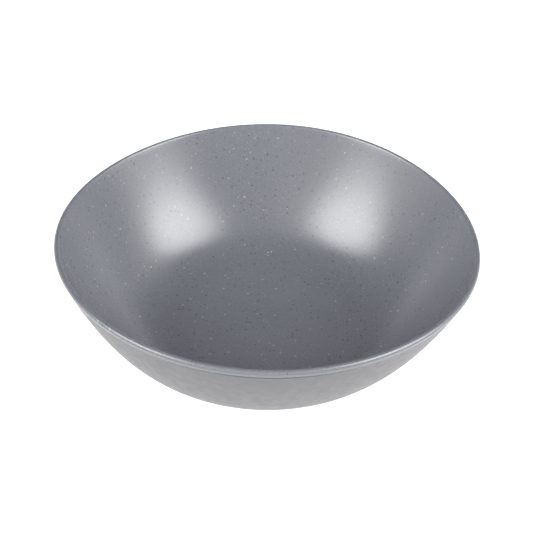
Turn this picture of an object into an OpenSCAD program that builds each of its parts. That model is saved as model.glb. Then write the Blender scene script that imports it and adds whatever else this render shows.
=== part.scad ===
// Serving bowl moulded in two bonded layers: a plain outer shell with its foot ring, and a
// speckled inner shell that lines the bowl, wraps over the lip and ends at a fine seam.
// Millimetres. Z is up, the foot ring stands on z = 0 and is centred on the Z axis.

/* [Rim] */
// Mean diameter across the outside of the rim
rim_d = 300; // [240:1:360]
// Mean height of the top of the lip
bowl_h = 90; // [70:1:110]

/* [Rim outline] */
// Swell of the outline that comes twice in a turn
two_lobe = 1.7; // [0:0.1:4]
// Direction of one crest of that swell, in degrees
two_lobe_at = 47; // [0:1:180]
// Swell of the outline that comes three times in a turn
three_lobe = 1.15; // [0:0.05:4]
// Direction of one crest of that swell, in degrees
three_lobe_at = 114; // [0:1:120]

/* [Rim height] */
// Wave of the lip that comes twice in a turn
two_wave = 2.3; // [0:0.1:5]
// Direction of one crest of that wave, in degrees
two_wave_at = 59; // [0:1:180]
// Wave of the lip that comes three times in a turn
three_wave = 1.0; // [0:0.1:3]
// Direction of one crest of that wave, in degrees
three_wave_at = 79; // [0:1:120]

/* [Wall] */
// Thickness of the two layers together
wall_t = 4; // [3:0.1:4.9]
// Thickness of the outer layer alone
outer_t = 1.8; // [1.2:0.1:2.2]
// How steeply the wall turns up towards the rim
wall_curve = 2.35; // [1.6:0.05:3]
// Height of the top of the lip above the seam
seam_drop = 6.2; // [4.5:0.1:8]
// Depth of the fine groove along the seam
seam_depth = 1; // [0.2:0.1:1]
// Width of the groove, measured upright
seam_w = 1.4; // [0.4:0.1:1.6]

/* [Foot ring] */
// Outside diameter of the foot ring
foot_d = 129; // [100:1:180]
// Width of the foot ring
foot_w = 4; // [3:0.5:8]
// Height of the foot ring below the base
foot_h = 3; // [2:0.5:6]
// Rounding of the foot ring's lower edges
foot_round = 0.8; // [0.2:0.1:1.2]
// Flat margin between the foot ring and the start of the wall
foot_margin = 1.5; // [1:0.5:4]

/* [Detail] */
// Facets round the bowl
around = 96; // [48:12:108]
// Facets up the wall
wall_steps = 14; // [8:1:16]
// Facets over the rounded lip
lip_steps = 7; // [4:1:8]

/* [Hidden] */

half_t = wall_t / 2;
foot_r = foot_d / 2;
base_r = foot_r + foot_margin;
base_mid_z = foot_h + half_t;
// Where the two layers meet, measured outward from the middle of the wall
bond = half_t - outer_t;
// Position of the seam up the wall: 0 is the base and 1 is the root of the rounded lip
lip_root_drop = 0.7 * wall_t;
seam_up = 1 - (seam_drop - lip_root_drop) / (wall_curve * bowl_h);
groove_up = seam_w / 2 / (wall_curve * bowl_h);
// How far the foot ring reaches up into the base that it is moulded with
foot_embed = 0.6;

angles = [for (i = [0 : around - 1]) 360 * i / around];

// Outside radius and top height of the rim in direction a
function rim_r(a) = rim_d / 2
    + two_lobe * cos(2 * (a - two_lobe_at))
    + three_lobe * cos(3 * (a - three_lobe_at));
function rim_z(a) = bowl_h
    + two_wave * cos(2 * (a - two_wave_at))
    + three_wave * cos(3 * (a - three_wave_at));

// The outline is moved so that its box is centred over the foot ring
outline_x = [for (a = angles) rim_r(a) * cos(a)];
outline_y = [for (a = angles) rim_r(a) * sin(a)];
shift = -[max(outline_x) + min(outline_x), max(outline_y) + min(outline_y)] / 2;

// Reach and rise of the middle of the wall, from the base to the root of the lip
function reach(a) = rim_r(a) - half_t - base_r;
function rise(a) = rim_z(a) - half_t - base_mid_z;
function slope(a, up) = atan(wall_curve * rise(a) / reach(a) * pow(up, wall_curve - 1));

// Point beside the middle of the wall, in the upright plane through direction a
function beside(a, up, out, over) =
    let (r = base_r + reach(a) * up + out, z = base_mid_z + rise(a) * pow(up, wall_curve) + over)
    [r * cos(a) + shift.x * up, r * sin(a) + shift.y * up, z];

// Ring of points a distance off the middle of the wall, positive towards the outside
function wall_ring(up, off) =
    [for (a = angles) beside(a, up, off * sin(slope(a, up)), -off * cos(slope(a, up)))];

// Ring of points on the half round of the lip, from 0 outside to 180 inside
function lip_ring(turn) =
    [for (a = angles) let (dir = turn + slope(a, 1) - 90) beside(a, 1, half_t * cos(dir), half_t * sin(dir))];

function climb(top) = [for (i = [0 : wall_steps]) top * i / wall_steps];
function descend(top) = [for (i = [wall_steps : -1 : 0]) top * i / wall_steps];

// The faces between two layers are the same rings in both shells, so they fit exactly
bond_rings = [for (up = climb(seam_up)) wall_ring(up, bond)];
seam_ring = wall_ring(seam_up, half_t - seam_depth);

outer_rings = concat(
    bond_rings,
    [seam_ring],
    [for (up = descend(seam_up - groove_up)) wall_ring(up, half_t)]
);
inner_rings = concat(
    bond_rings,
    [seam_ring],
    [wall_ring(seam_up + groove_up, half_t)],
    [for (k = [0 : lip_steps]) lip_ring(180 * k / lip_steps)],
    [for (i = [wall_steps - 1 : -1 : 0]) wall_ring(i / wall_steps, -half_t)]
);

// Closed solid through a stack of rings, from a middle point at z_first to one at z_last.
// outside_in is true where the stack runs clockwise round the wall's section.
module ring_solid(rings, z_first, z_last, outside_in) {
    count = len(rings);
    last = count * around + 1;
    points = concat([[0, 0, z_first]], [for (ring = rings) each ring], [[0, 0, z_last]]);
    faces = concat(
        [for (i = [0 : around - 1]) [0, corner(0, i), corner(0, i + 1)]],
        [for (j = [0 : count - 2], i = [0 : around - 1]) [corner(j, i), corner(j + 1, i + 1), corner(j, i + 1)]],
        [for (j = [0 : count - 2], i = [0 : around - 1]) [corner(j, i), corner(j + 1, i), corner(j + 1, i + 1)]],
        [for (i = [0 : around - 1]) [last, corner(count - 1, i + 1), corner(count - 1, i)]]
    );
    polyhedron(points, outside_in ? [for (face = faces) [face[2], face[1], face[0]]] : faces, convexity = 4);
}

// Number of the point at place i on ring j
function corner(j, i) = 1 + j * around + i % around;

// Ring with rounded lower edges that the bowl stands on
module foot_ring() {
    rotate_extrude($fn = 144)
        translate([foot_r - foot_w, 0])
            foot_section();
}

module foot_section() {
    translate([0, foot_round])
        square([foot_w, foot_h + foot_embed - foot_round]);
    translate([foot_round, 0])
        square([foot_w - 2 * foot_round, foot_h]);
    for (x = [foot_round, foot_w - foot_round])
        translate([x, foot_round])
            circle(r = foot_round, $fn = 32);
}

module outer_shell() {
    color([0.62, 0.61, 0.63])
        union() {
            ring_solid(outer_rings, foot_h + outer_t, foot_h, true);
            foot_ring();
        }
}

module inner_shell() {
    color([0.50, 0.51, 0.54])
        ring_solid(inner_rings, foot_h + outer_t, foot_h + wall_t, false);
}

outer_shell();
inner_shell();
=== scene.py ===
"""A two-layer speckled serving bowl: finished meshes, materials, lights and camera."""
import math

import bpy
import numpy as np
from mathutils import Matrix, Vector, noise


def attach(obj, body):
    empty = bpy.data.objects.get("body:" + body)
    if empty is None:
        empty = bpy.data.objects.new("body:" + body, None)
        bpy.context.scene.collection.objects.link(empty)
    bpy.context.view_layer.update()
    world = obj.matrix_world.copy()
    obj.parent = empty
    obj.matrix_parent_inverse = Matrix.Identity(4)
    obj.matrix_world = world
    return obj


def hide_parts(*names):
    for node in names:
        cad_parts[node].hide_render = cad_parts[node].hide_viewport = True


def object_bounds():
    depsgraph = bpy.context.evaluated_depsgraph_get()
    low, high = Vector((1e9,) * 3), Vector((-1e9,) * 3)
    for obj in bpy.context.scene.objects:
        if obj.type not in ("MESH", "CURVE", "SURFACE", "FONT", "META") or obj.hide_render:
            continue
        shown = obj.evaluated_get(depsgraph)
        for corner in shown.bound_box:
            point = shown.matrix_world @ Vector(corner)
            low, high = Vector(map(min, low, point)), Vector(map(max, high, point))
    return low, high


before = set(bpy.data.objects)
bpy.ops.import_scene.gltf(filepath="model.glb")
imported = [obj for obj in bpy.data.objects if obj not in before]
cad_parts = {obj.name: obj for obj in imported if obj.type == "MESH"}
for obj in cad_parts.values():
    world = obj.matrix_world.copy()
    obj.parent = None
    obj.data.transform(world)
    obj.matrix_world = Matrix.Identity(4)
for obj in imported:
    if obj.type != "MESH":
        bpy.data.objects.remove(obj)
CAD_LOW, CAD_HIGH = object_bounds()

# ---------------------------------------------------------------- sizes, in metres and degrees
MM = 0.001
RIM_R = 150 * MM            # mean outside radius of the rim
BOWL_H = 90 * MM            # mean height of the top of the lip
OUTLINE_LOBES = [(2, 1.7 * MM, 47), (3, 1.15 * MM, 114)]   # times in a turn, swell, direction
HEIGHT_WAVES = [(2, 2.3 * MM, 59), (3, 1.0 * MM, 79)]      # times in a turn, rise, direction
WALL_T = 4 * MM
HALF_T = WALL_T / 2
OUTER_T = 1.8 * MM
BOND = HALF_T - OUTER_T     # the face between the layers, outward from the middle of the wall
WALL_CURVE = 2.35           # how steeply the wall turns up towards the rim
LIP_ROOT_DROP = 0.7 * WALL_T    # about how far the root of the lip lies below its top
SEAM_DROP = 6.2 * MM        # height of the top of the lip above the seam
SEAM_DEPTH = 1 * MM
SEAM_HALF_W = 0.7 * MM      # half the width of the groove, measured upright
SEAM_WANDER = 0.3 * MM      # how far the seam strays from level
SLOW_WANDER, QUICK_WANDER = 5, 40   # cells of noise in a radian round the bowl
QUICK_SHARE = 0.5           # size of the quick wander beside the slow one
FOOT_R = 64.5 * MM
FOOT_W = 4 * MM
FOOT_H = 3 * MM
FOOT_ROUND = 0.9 * MM
FOOT_FILLET = 1.2 * MM
BASE_R = FOOT_R + 1.5 * MM
BASE_MID_Z = FOOT_H + HALF_T

AROUND = 360                # steps round the bowl
WALL_STEPS = 64             # steps up a wall
LIP_STEPS = 20              # steps over the lip
ROUND_STEPS = 6             # steps round a small edge
DISC_STEPS = 8              # steps from the middle of the base to its edge
BAND_STEPS = 3              # steps from the seam to the root of the lip
CRISP_FROM = 35             # degrees between two faces from which their edge is shaded crisp

ANGLES = np.arange(AROUND) * 2 * math.pi / AROUND


# ---------------------------------------------------------------- the bowl's form
def waves(mean, terms):
    """A mean size with waves on it, one value for each direction round the bowl."""
    return mean + sum(size * np.cos(times * (ANGLES - math.radians(at))) for times, size, at in terms)


OUTLINE = waves(RIM_R, OUTLINE_LOBES)
LIP_TOP = waves(BOWL_H, HEIGHT_WAVES)
COS, SIN = np.cos(ANGLES), np.sin(ANGLES)
SHIFT_X = -(np.max(OUTLINE * COS) + np.min(OUTLINE * COS)) / 2
SHIFT_Y = -(np.max(OUTLINE * SIN) + np.min(OUTLINE * SIN)) / 2
REACH = OUTLINE - HALF_T - BASE_R
RISE = LIP_TOP - HALF_T - BASE_MID_Z


def slope(up):
    """The wall's angle above level in each direction, in radians."""
    return np.arctan(WALL_CURVE * RISE / REACH * up ** (WALL_CURVE - 1))


def beside(up, out, over):
    """Points beside the middle of the wall: up runs from 0 at the base to 1 at the root of the lip."""
    r = BASE_R + REACH * up + out
    z = BASE_MID_Z + RISE * up ** WALL_CURVE + over
    return np.stack([r * COS + SHIFT_X * up, r * SIN + SHIFT_Y * up, z], axis=1)


def wall_ring(up, off):
    """A ring a distance off the middle of the wall, positive towards the outside."""
    lean = slope(up)
    return beside(up, off * np.sin(lean), -off * np.cos(lean))


def lip_ring(turn):
    """A ring on the half round of the lip, from 0 on the outside to pi on the inside."""
    lean = turn + slope(1.0) - math.pi / 2
    return beside(1.0, HALF_T * np.cos(lean), HALF_T * np.sin(lean))


def flat_ring(r, z):
    return np.stack([r * COS, r * SIN, np.full(AROUND, z)], axis=1)


def seam_line():
    """How far up the wall the seam lies in each direction, with the slight wander of a moulded edge."""
    spots = [Vector((c, s, 0)) for c, s in zip(COS, SIN)]
    slow = np.array([noise.noise(p * SLOW_WANDER) for p in spots])
    quick = np.array([noise.noise(p * QUICK_WANDER) for p in spots])
    drop = SEAM_DROP - LIP_ROOT_DROP + SEAM_WANDER * (slow + QUICK_SHARE * quick)
    return 1 - drop / (WALL_CURVE * BOWL_H)


SEAM = seam_line()
GROOVE = SEAM_HALF_W / (WALL_CURVE * BOWL_H)


def climb(top):
    """Steps up the wall from 0 to top, which can differ with the direction."""
    return [top * i / WALL_STEPS for i in range(WALL_STEPS + 1)]


# ---------------------------------------------------------------- meshes
def ring_mesh(name, rings, z_first, z_last):
    """A closed mesh through a stack of rings, from a middle point at z_first to one at z_last."""
    count = len(rings)
    points = np.vstack([[[0, 0, z_first]], *rings, [[0, 0, z_last]]])

    def corner(j, i):
        return 1 + j * AROUND + i % AROUND

    faces = [(0, corner(0, i + 1), corner(0, i)) for i in range(AROUND)]
    for j in range(count - 1):
        faces += [(corner(j, i), corner(j, i + 1), corner(j + 1, i + 1), corner(j + 1, i))
                  for i in range(AROUND)]
    last = count * AROUND + 1
    faces += [(last, corner(count - 1, i), corner(count - 1, i + 1)) for i in range(AROUND)]
    mesh = bpy.data.meshes.new(name)
    mesh.from_pydata(points.tolist(), [], faces)
    mesh.validate()
    piece = bpy.data.objects.new(name, mesh)
    bpy.context.scene.collection.objects.link(piece)
    return piece


def finish_mesh(piece, material):
    """Smooth shading with crisp edges, so that the groove of the seam stays sharp."""
    mesh = piece.data
    mesh.shade_smooth()
    mesh.set_sharp_from_angle(angle=math.radians(CRISP_FROM))
    mesh.materials.append(material)


def disc_rings(r, z):
    """Level rings inside a radius, for the flat middle of the base."""
    return [flat_ring(r * i / DISC_STEPS, z) for i in range(1, DISC_STEPS)]


def quarter_rings(r, z, radius, start, end):
    """A quarter round about a middle at r and z, between two angles of the section in degrees."""
    turns = [math.radians(start + (end - start) * i / ROUND_STEPS) for i in range(ROUND_STEPS + 1)]
    return [flat_ring(r + radius * math.cos(t), z + radius * math.sin(t)) for t in turns]


def foot_rings():
    """The underside from its middle out to the start of the wall, with the foot ring and its round edges."""
    inside, outside = FOOT_R - FOOT_W, FOOT_R
    fillet_z = FOOT_H - FOOT_FILLET
    return (disc_rings(inside - FOOT_FILLET, FOOT_H)
            + quarter_rings(inside - FOOT_FILLET, fillet_z, FOOT_FILLET, 90, 0)
            + quarter_rings(inside + FOOT_ROUND, FOOT_ROUND, FOOT_ROUND, 180, 270)
            + quarter_rings(outside - FOOT_ROUND, FOOT_ROUND, FOOT_ROUND, -90, 0)
            + quarter_rings(outside + FOOT_FILLET, fillet_z, FOOT_FILLET, 180, 90))


def bond_rings():
    """The face between the layers, from near the middle of the base out and up to the seam."""
    return disc_rings(BASE_R, BASE_MID_Z - BOND) + [wall_ring(up, BOND) for up in climb(SEAM)]


def make_outer_layer(material):
    """The plain layer: the underside, the outside up to the seam, and the face between the layers."""
    wall = [wall_ring(up, HALF_T) for up in climb(SEAM - GROOVE)[1:]]
    rings = foot_rings() + wall + [wall_ring(SEAM, HALF_T - SEAM_DEPTH)] + bond_rings()[::-1]
    piece = ring_mesh("bowl_outer_layer", rings, FOOT_H, FOOT_H + OUTER_T)
    finish_mesh(piece, material)
    return piece


def make_inner_layer(material):
    """The speckled layer: the face between the layers, past the seam, over the lip and the inside."""
    rings = bond_rings() + [wall_ring(SEAM, HALF_T - SEAM_DEPTH), wall_ring(SEAM + GROOVE, HALF_T)]
    band = 1 - SEAM - GROOVE
    rings += [wall_ring(SEAM + GROOVE + band * k / BAND_STEPS, HALF_T) for k in range(1, BAND_STEPS)]
    rings += [lip_ring(math.pi * k / LIP_STEPS) for k in range(LIP_STEPS + 1)]
    rings += [wall_ring(up, -HALF_T) for up in climb(1.0)[-2::-1]]
    rings += disc_rings(BASE_R, FOOT_H + WALL_T)[::-1]
    piece = ring_mesh("bowl_inner_layer", rings, FOOT_H + OUTER_T, FOOT_H + WALL_T)
    finish_mesh(piece, material)
    return piece


# ---------------------------------------------------------------- materials
SMALLEST_SPECK = 0.55       # as a share of the largest speck's radius
FAINTEST_SPECK = 0.55       # as a share of the strongest speck's strength
SPECK_CORE = 0.6            # share of a speck's radius over which it keeps its full strength
MELAMINE_IOR = 1.56
GLOSS_PATCH = 6 * MM        # size of the patches that differ in gloss
PATCH_LOW, PATCH_HIGH = 0.3, 0.7    # noise at the smoothest and at the roughest patches
GRAIN_SIZE = 1.1 * MM       # size of the fine unevenness of the surface
GRAIN_DEPTH = 0.02 * MM


class Nodes:
    """Short calls for building one material's node tree."""

    def __init__(self, name):
        self.material = bpy.data.materials.new(name)
        self.material.use_nodes = True
        self.tree = self.material.node_tree
        self.shader = self.tree.nodes["Principled BSDF"]
        self.coords = self.tree.nodes.new("ShaderNodeTexCoord").outputs["Object"]

    def link(self, value, socket):
        if isinstance(value, bpy.types.NodeSocket):
            self.tree.links.new(value, socket)
        elif isinstance(value, tuple) and len(value) == 3 and socket.type == "RGBA":
            socket.default_value = (*value, 1)
        else:
            socket.default_value = value

    def math(self, operation, a, b):
        node = self.tree.nodes.new("ShaderNodeMath")
        node.operation = operation
        self.link(a, node.inputs[0])
        self.link(b, node.inputs[1])
        return node.outputs[0]

    def mix(self, amount, a, b):
        node = self.tree.nodes.new("ShaderNodeMix")
        node.data_type = "RGBA"
        self.link(amount, node.inputs["Factor"])
        self.link(a, node.inputs["A"])
        self.link(b, node.inputs["B"])
        return node.outputs["Result"]

    def ramp(self, value, low, high, to_low=0.0, to_high=1.0):
        """A smooth step of value from to_low at low to to_high at high."""
        node = self.tree.nodes.new("ShaderNodeMapRange")
        node.interpolation_type = "SMOOTHSTEP"
        for socket, number in zip(node.inputs[:5], (value, low, high, to_low, to_high)):
            self.link(number, socket)
        return node.outputs["Result"]

    def scaled(self, x, y, z):
        node = self.tree.nodes.new("ShaderNodeMapping")
        node.inputs["Scale"].default_value = (x, y, z)
        self.tree.links.new(self.coords, node.inputs["Vector"])
        return node.outputs["Vector"]

    def noise(self, size, detail=2.0, vector=None):
        """Noise with features about size metres across."""
        node = self.tree.nodes.new("ShaderNodeTexNoise")
        self.link(vector or self.coords, node.inputs["Vector"])
        node.inputs["Scale"].default_value = 1 / size
        node.inputs["Detail"].default_value = detail
        return node.outputs["Fac"]

    def grains(self, spacing):
        """Scattered grains, a spacing apart: the distance to the nearest in metres, and its random colour."""
        cells = self.tree.nodes.new("ShaderNodeTexVoronoi")
        self.tree.links.new(self.coords, cells.inputs["Vector"])
        cells.inputs["Scale"].default_value = 1 / spacing
        split = self.tree.nodes.new("ShaderNodeSeparateColor")
        self.tree.links.new(cells.outputs["Color"], split.inputs["Color"])
        return self.math("MULTIPLY", cells.outputs["Distance"], spacing), split.outputs

    def specks(self, grains, share_from, share_to, radius):
        """Round specks on the grains whose random number lies in the given share."""
        distance, random = grains
        chosen = self.math("MULTIPLY", self.math("GREATER_THAN", random["Red"], share_from),
                           self.math("LESS_THAN", random["Red"], share_to))
        size = self.ramp(random["Green"], 0.0, 1.0, radius * SMALLEST_SPECK, radius)
        edge = self.math("DIVIDE", distance, size)
        strength = self.ramp(random["Blue"], 0.0, 1.0, FAINTEST_SPECK, 1.0)
        cover = self.math("MULTIPLY", chosen, strength)
        return self.math("MULTIPLY", cover, self.ramp(edge, 1.0, SPECK_CORE))

    def satin(self, smoothest, roughest):
        """The surface of moulded melamine: finely uneven, and patchy in gloss between two roughnesses."""
        gloss = self.ramp(self.noise(GLOSS_PATCH), PATCH_LOW, PATCH_HIGH, smoothest, roughest)
        self.tree.links.new(gloss, self.shader.inputs["Roughness"])
        self.shader.inputs["IOR"].default_value = MELAMINE_IOR
        bump = self.tree.nodes.new("ShaderNodeBump")
        bump.inputs["Strength"].default_value = 1.0
        bump.inputs["Distance"].default_value = GRAIN_DEPTH
        self.tree.links.new(self.noise(GRAIN_SIZE, detail=1), bump.inputs["Height"])
        self.tree.links.new(bump.outputs["Normal"], self.shader.inputs["Normal"])


def speckled_melamine():
    """Satin blue-grey melamine with dark and pale grains pressed into it."""
    n = Nodes("speckled_melamine")
    darker, lighter = (0.0935, 0.0975, 0.111), (0.109, 0.1135, 0.129)
    charcoal, near_black = (0.05, 0.052, 0.06), (0.035, 0.035, 0.042)
    chalk, near_white = (0.5, 0.5, 0.52), (0.62, 0.62, 0.63)
    coarse, fine = n.grains(2.7 * MM), n.grains(1.35 * MM)
    colour = n.mix(n.noise(45 * MM, detail=3), darker, lighter)
    # Which grains, from and to what share of them, the largest radius, the colour and how far it covers
    for grains, share_from, share_to, radius, shade, cover in [
        (fine, 0.0, 0.4, 0.58 * MM, charcoal, 0.5),
        (fine, 0.66, 1.0, 0.58 * MM, chalk, 0.12),
        (coarse, 0.0, 0.25, 1.08 * MM, near_black, 0.6),
        (coarse, 0.92, 1.0, 0.95 * MM, near_white, 0.2),
    ]:
        specks = n.specks(grains, share_from, share_to, radius)
        colour = n.mix(n.math("MULTIPLY", specks, cover), colour, shade)
    n.link(colour, n.shader.inputs["Base Color"])
    n.satin(0.23, 0.265)
    return n.material


def plain_melamine():
    """Satin warm-grey melamine with faint level streaks and a few stray grains that hardly show."""
    n = Nodes("plain_melamine")
    darker, middle, lighter = (0.076, 0.073, 0.080), (0.084, 0.081, 0.089), (0.092, 0.089, 0.097)
    stray_grey = (0.09, 0.09, 0.095)
    streaks = n.noise(14 * MM, detail=4, vector=n.scaled(1, 1, 9))     # nine times as long as they are high
    colour = n.mix(n.noise(40 * MM, detail=3), n.mix(streaks, darker, lighter), middle)
    stray = n.specks(n.grains(3.2 * MM), 0.0, 0.012, 0.6 * MM)
    colour = n.mix(n.math("MULTIPLY", stray, 0.5), colour, stray_grey)
    n.link(colour, n.shader.inputs["Base Color"])
    n.satin(0.38, 0.45)
    return n.material


def glowing_white(name, white, glow):
    """The top of a light table, which washes out most of the bowl's shadow."""
    n = Nodes(name)
    n.shader.inputs["Base Color"].default_value = (white, white, white, 1)
    n.shader.inputs["Roughness"].default_value = 0.8
    n.shader.inputs["Specular IOR Level"].default_value = 0.1
    n.shader.inputs["Emission Color"].default_value = (1, 1, 1, 1)
    n.shader.inputs["Emission Strength"].default_value = glow
    return n.material


# ---------------------------------------------------------------- studio
FLOOR_HALF = 3.0            # half the side of the floor
# The lamps of the studio: azimuth, elevation and radius in degrees, and strength in the middle
LAMPS = [
    (74, 38, 30, 10.3),     # the right lamp, whose highlight is on the left of the concave inside
    (-60, 35, 28, 10.7),    # the left lamp, whose highlight is on the right
    (95, 25, 44, 1.1),      # a glow further round than the right lamp
    (-40, 37, 42, 0.9),     # a glow nearer the front than the left lamp
    (0, 27, 58, 0.85),      # a wide glow in front
    (75, 0, 45, 1.3),       # a low glow on the right
    (-72, 0, 45, 1.2),      # a low glow on the left
]


def make_floor():
    """A level square under the foot, wide enough to fill the picture."""
    corners = [(x * FLOOR_HALF, y * FLOOR_HALF, CAD_LOW.z)
               for x, y in ((-1, -1), (1, -1), (1, 1), (-1, 1))]
    mesh = bpy.data.meshes.new("studio_floor")
    mesh.from_pydata(corners, [], [(0, 1, 2, 3)])
    floor = bpy.data.objects.new("studio_floor", mesh)
    bpy.context.scene.collection.objects.link(floor)
    mesh.materials.append(glowing_white("studio_white", white=0.38, glow=0.9))


def toward(azimuth, elevation):
    """The direction at an azimuth, counted from the front towards the right, and an elevation, in degrees."""
    a, e = math.radians(azimuth), math.radians(elevation)
    return Vector((math.sin(a) * math.cos(e), -math.cos(a) * math.cos(e), math.sin(e)))


def make_world(horizon, horizon_until, dark_from, lamps):
    """A white studio, bright round the horizon and dark overhead, with soft round lamps.

    The bounds of the horizon are heights of the direction looked in, from 0 to 1. Each lamp has an azimuth,
    an elevation, a radius in degrees and a strength in its middle.
    """
    world = bpy.data.worlds.new("studio_world")
    world.use_nodes = True
    tree = world.node_tree
    direction = tree.nodes.new("ShaderNodeTexCoord").outputs["Generated"]

    def along(way, start, end, strength):
        """A smooth rise to strength, by how far the direction looked in points the given way."""
        dot = tree.nodes.new("ShaderNodeVectorMath")
        dot.operation = "DOT_PRODUCT"
        tree.links.new(direction, dot.inputs[0])
        dot.inputs[1].default_value = way
        rise = tree.nodes.new("ShaderNodeMapRange")
        rise.interpolation_type = "SMOOTHSTEP"
        tree.links.new(dot.outputs["Value"], rise.inputs["Value"])
        for socket, number in zip(rise.inputs[1:5], (start, end, 0, strength)):
            socket.default_value = number
        return rise.outputs["Result"]

    total = along((0, 0, 1), dark_from, horizon_until, horizon)
    for azimuth, elevation, radius, strength in lamps:
        lamp = along(toward(azimuth, elevation), math.cos(math.radians(radius)), 1, strength)
        add = tree.nodes.new("ShaderNodeMath")
        tree.links.new(total, add.inputs[0])
        tree.links.new(lamp, add.inputs[1])
        total = add.outputs[0]
    tree.links.new(total, tree.nodes["Background"].inputs["Strength"])
    tree.nodes["Background"].inputs["Color"].default_value = (1, 1, 1, 1)
    bpy.context.scene.world = world


def make_camera():
    """The camera stands in front, looks down on the bowl and is turned a little about its own axis."""
    elevation, roll = math.radians(37.41), math.radians(3.43)
    distance, lens, sensor = 0.916, 84.7, 36.0
    aim_right, aim_up = 0.2 * MM, 11.8 * MM
    back = Vector((0, -math.cos(elevation), math.sin(elevation)))
    level, rise = Vector((1, 0, 0)), Vector((0, math.sin(elevation), math.cos(elevation)))
    right = level * math.cos(roll) + rise * math.sin(roll)
    up = rise * math.cos(roll) - level * math.sin(roll)
    centre = Vector((0, 0, BOWL_H / 2))
    place = centre + back * distance
    look = (centre + right * aim_right + up * aim_up - place).normalized()
    side = look.cross(up).normalized()
    data = bpy.data.cameras.new("camera")
    data.lens, data.sensor_width = lens, sensor
    camera = bpy.data.objects.new("camera", data)
    turn = Matrix((side, side.cross(look), -look)).transposed()
    camera.matrix_world = Matrix.Translation(place) @ turn.to_4x4()
    bpy.context.scene.collection.objects.link(camera)
    bpy.context.scene.camera = camera


make_camera()
make_floor()
make_world(horizon=0.8, horizon_until=0.12, dark_from=0.38, lamps=LAMPS)
bpy.context.scene.view_settings.view_transform = "Standard"

outer = make_outer_layer(plain_melamine())
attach(outer, "root")
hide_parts("outer_shell")

inner = make_inner_layer(speckled_melamine())
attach(inner, "root")
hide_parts("inner_shell")
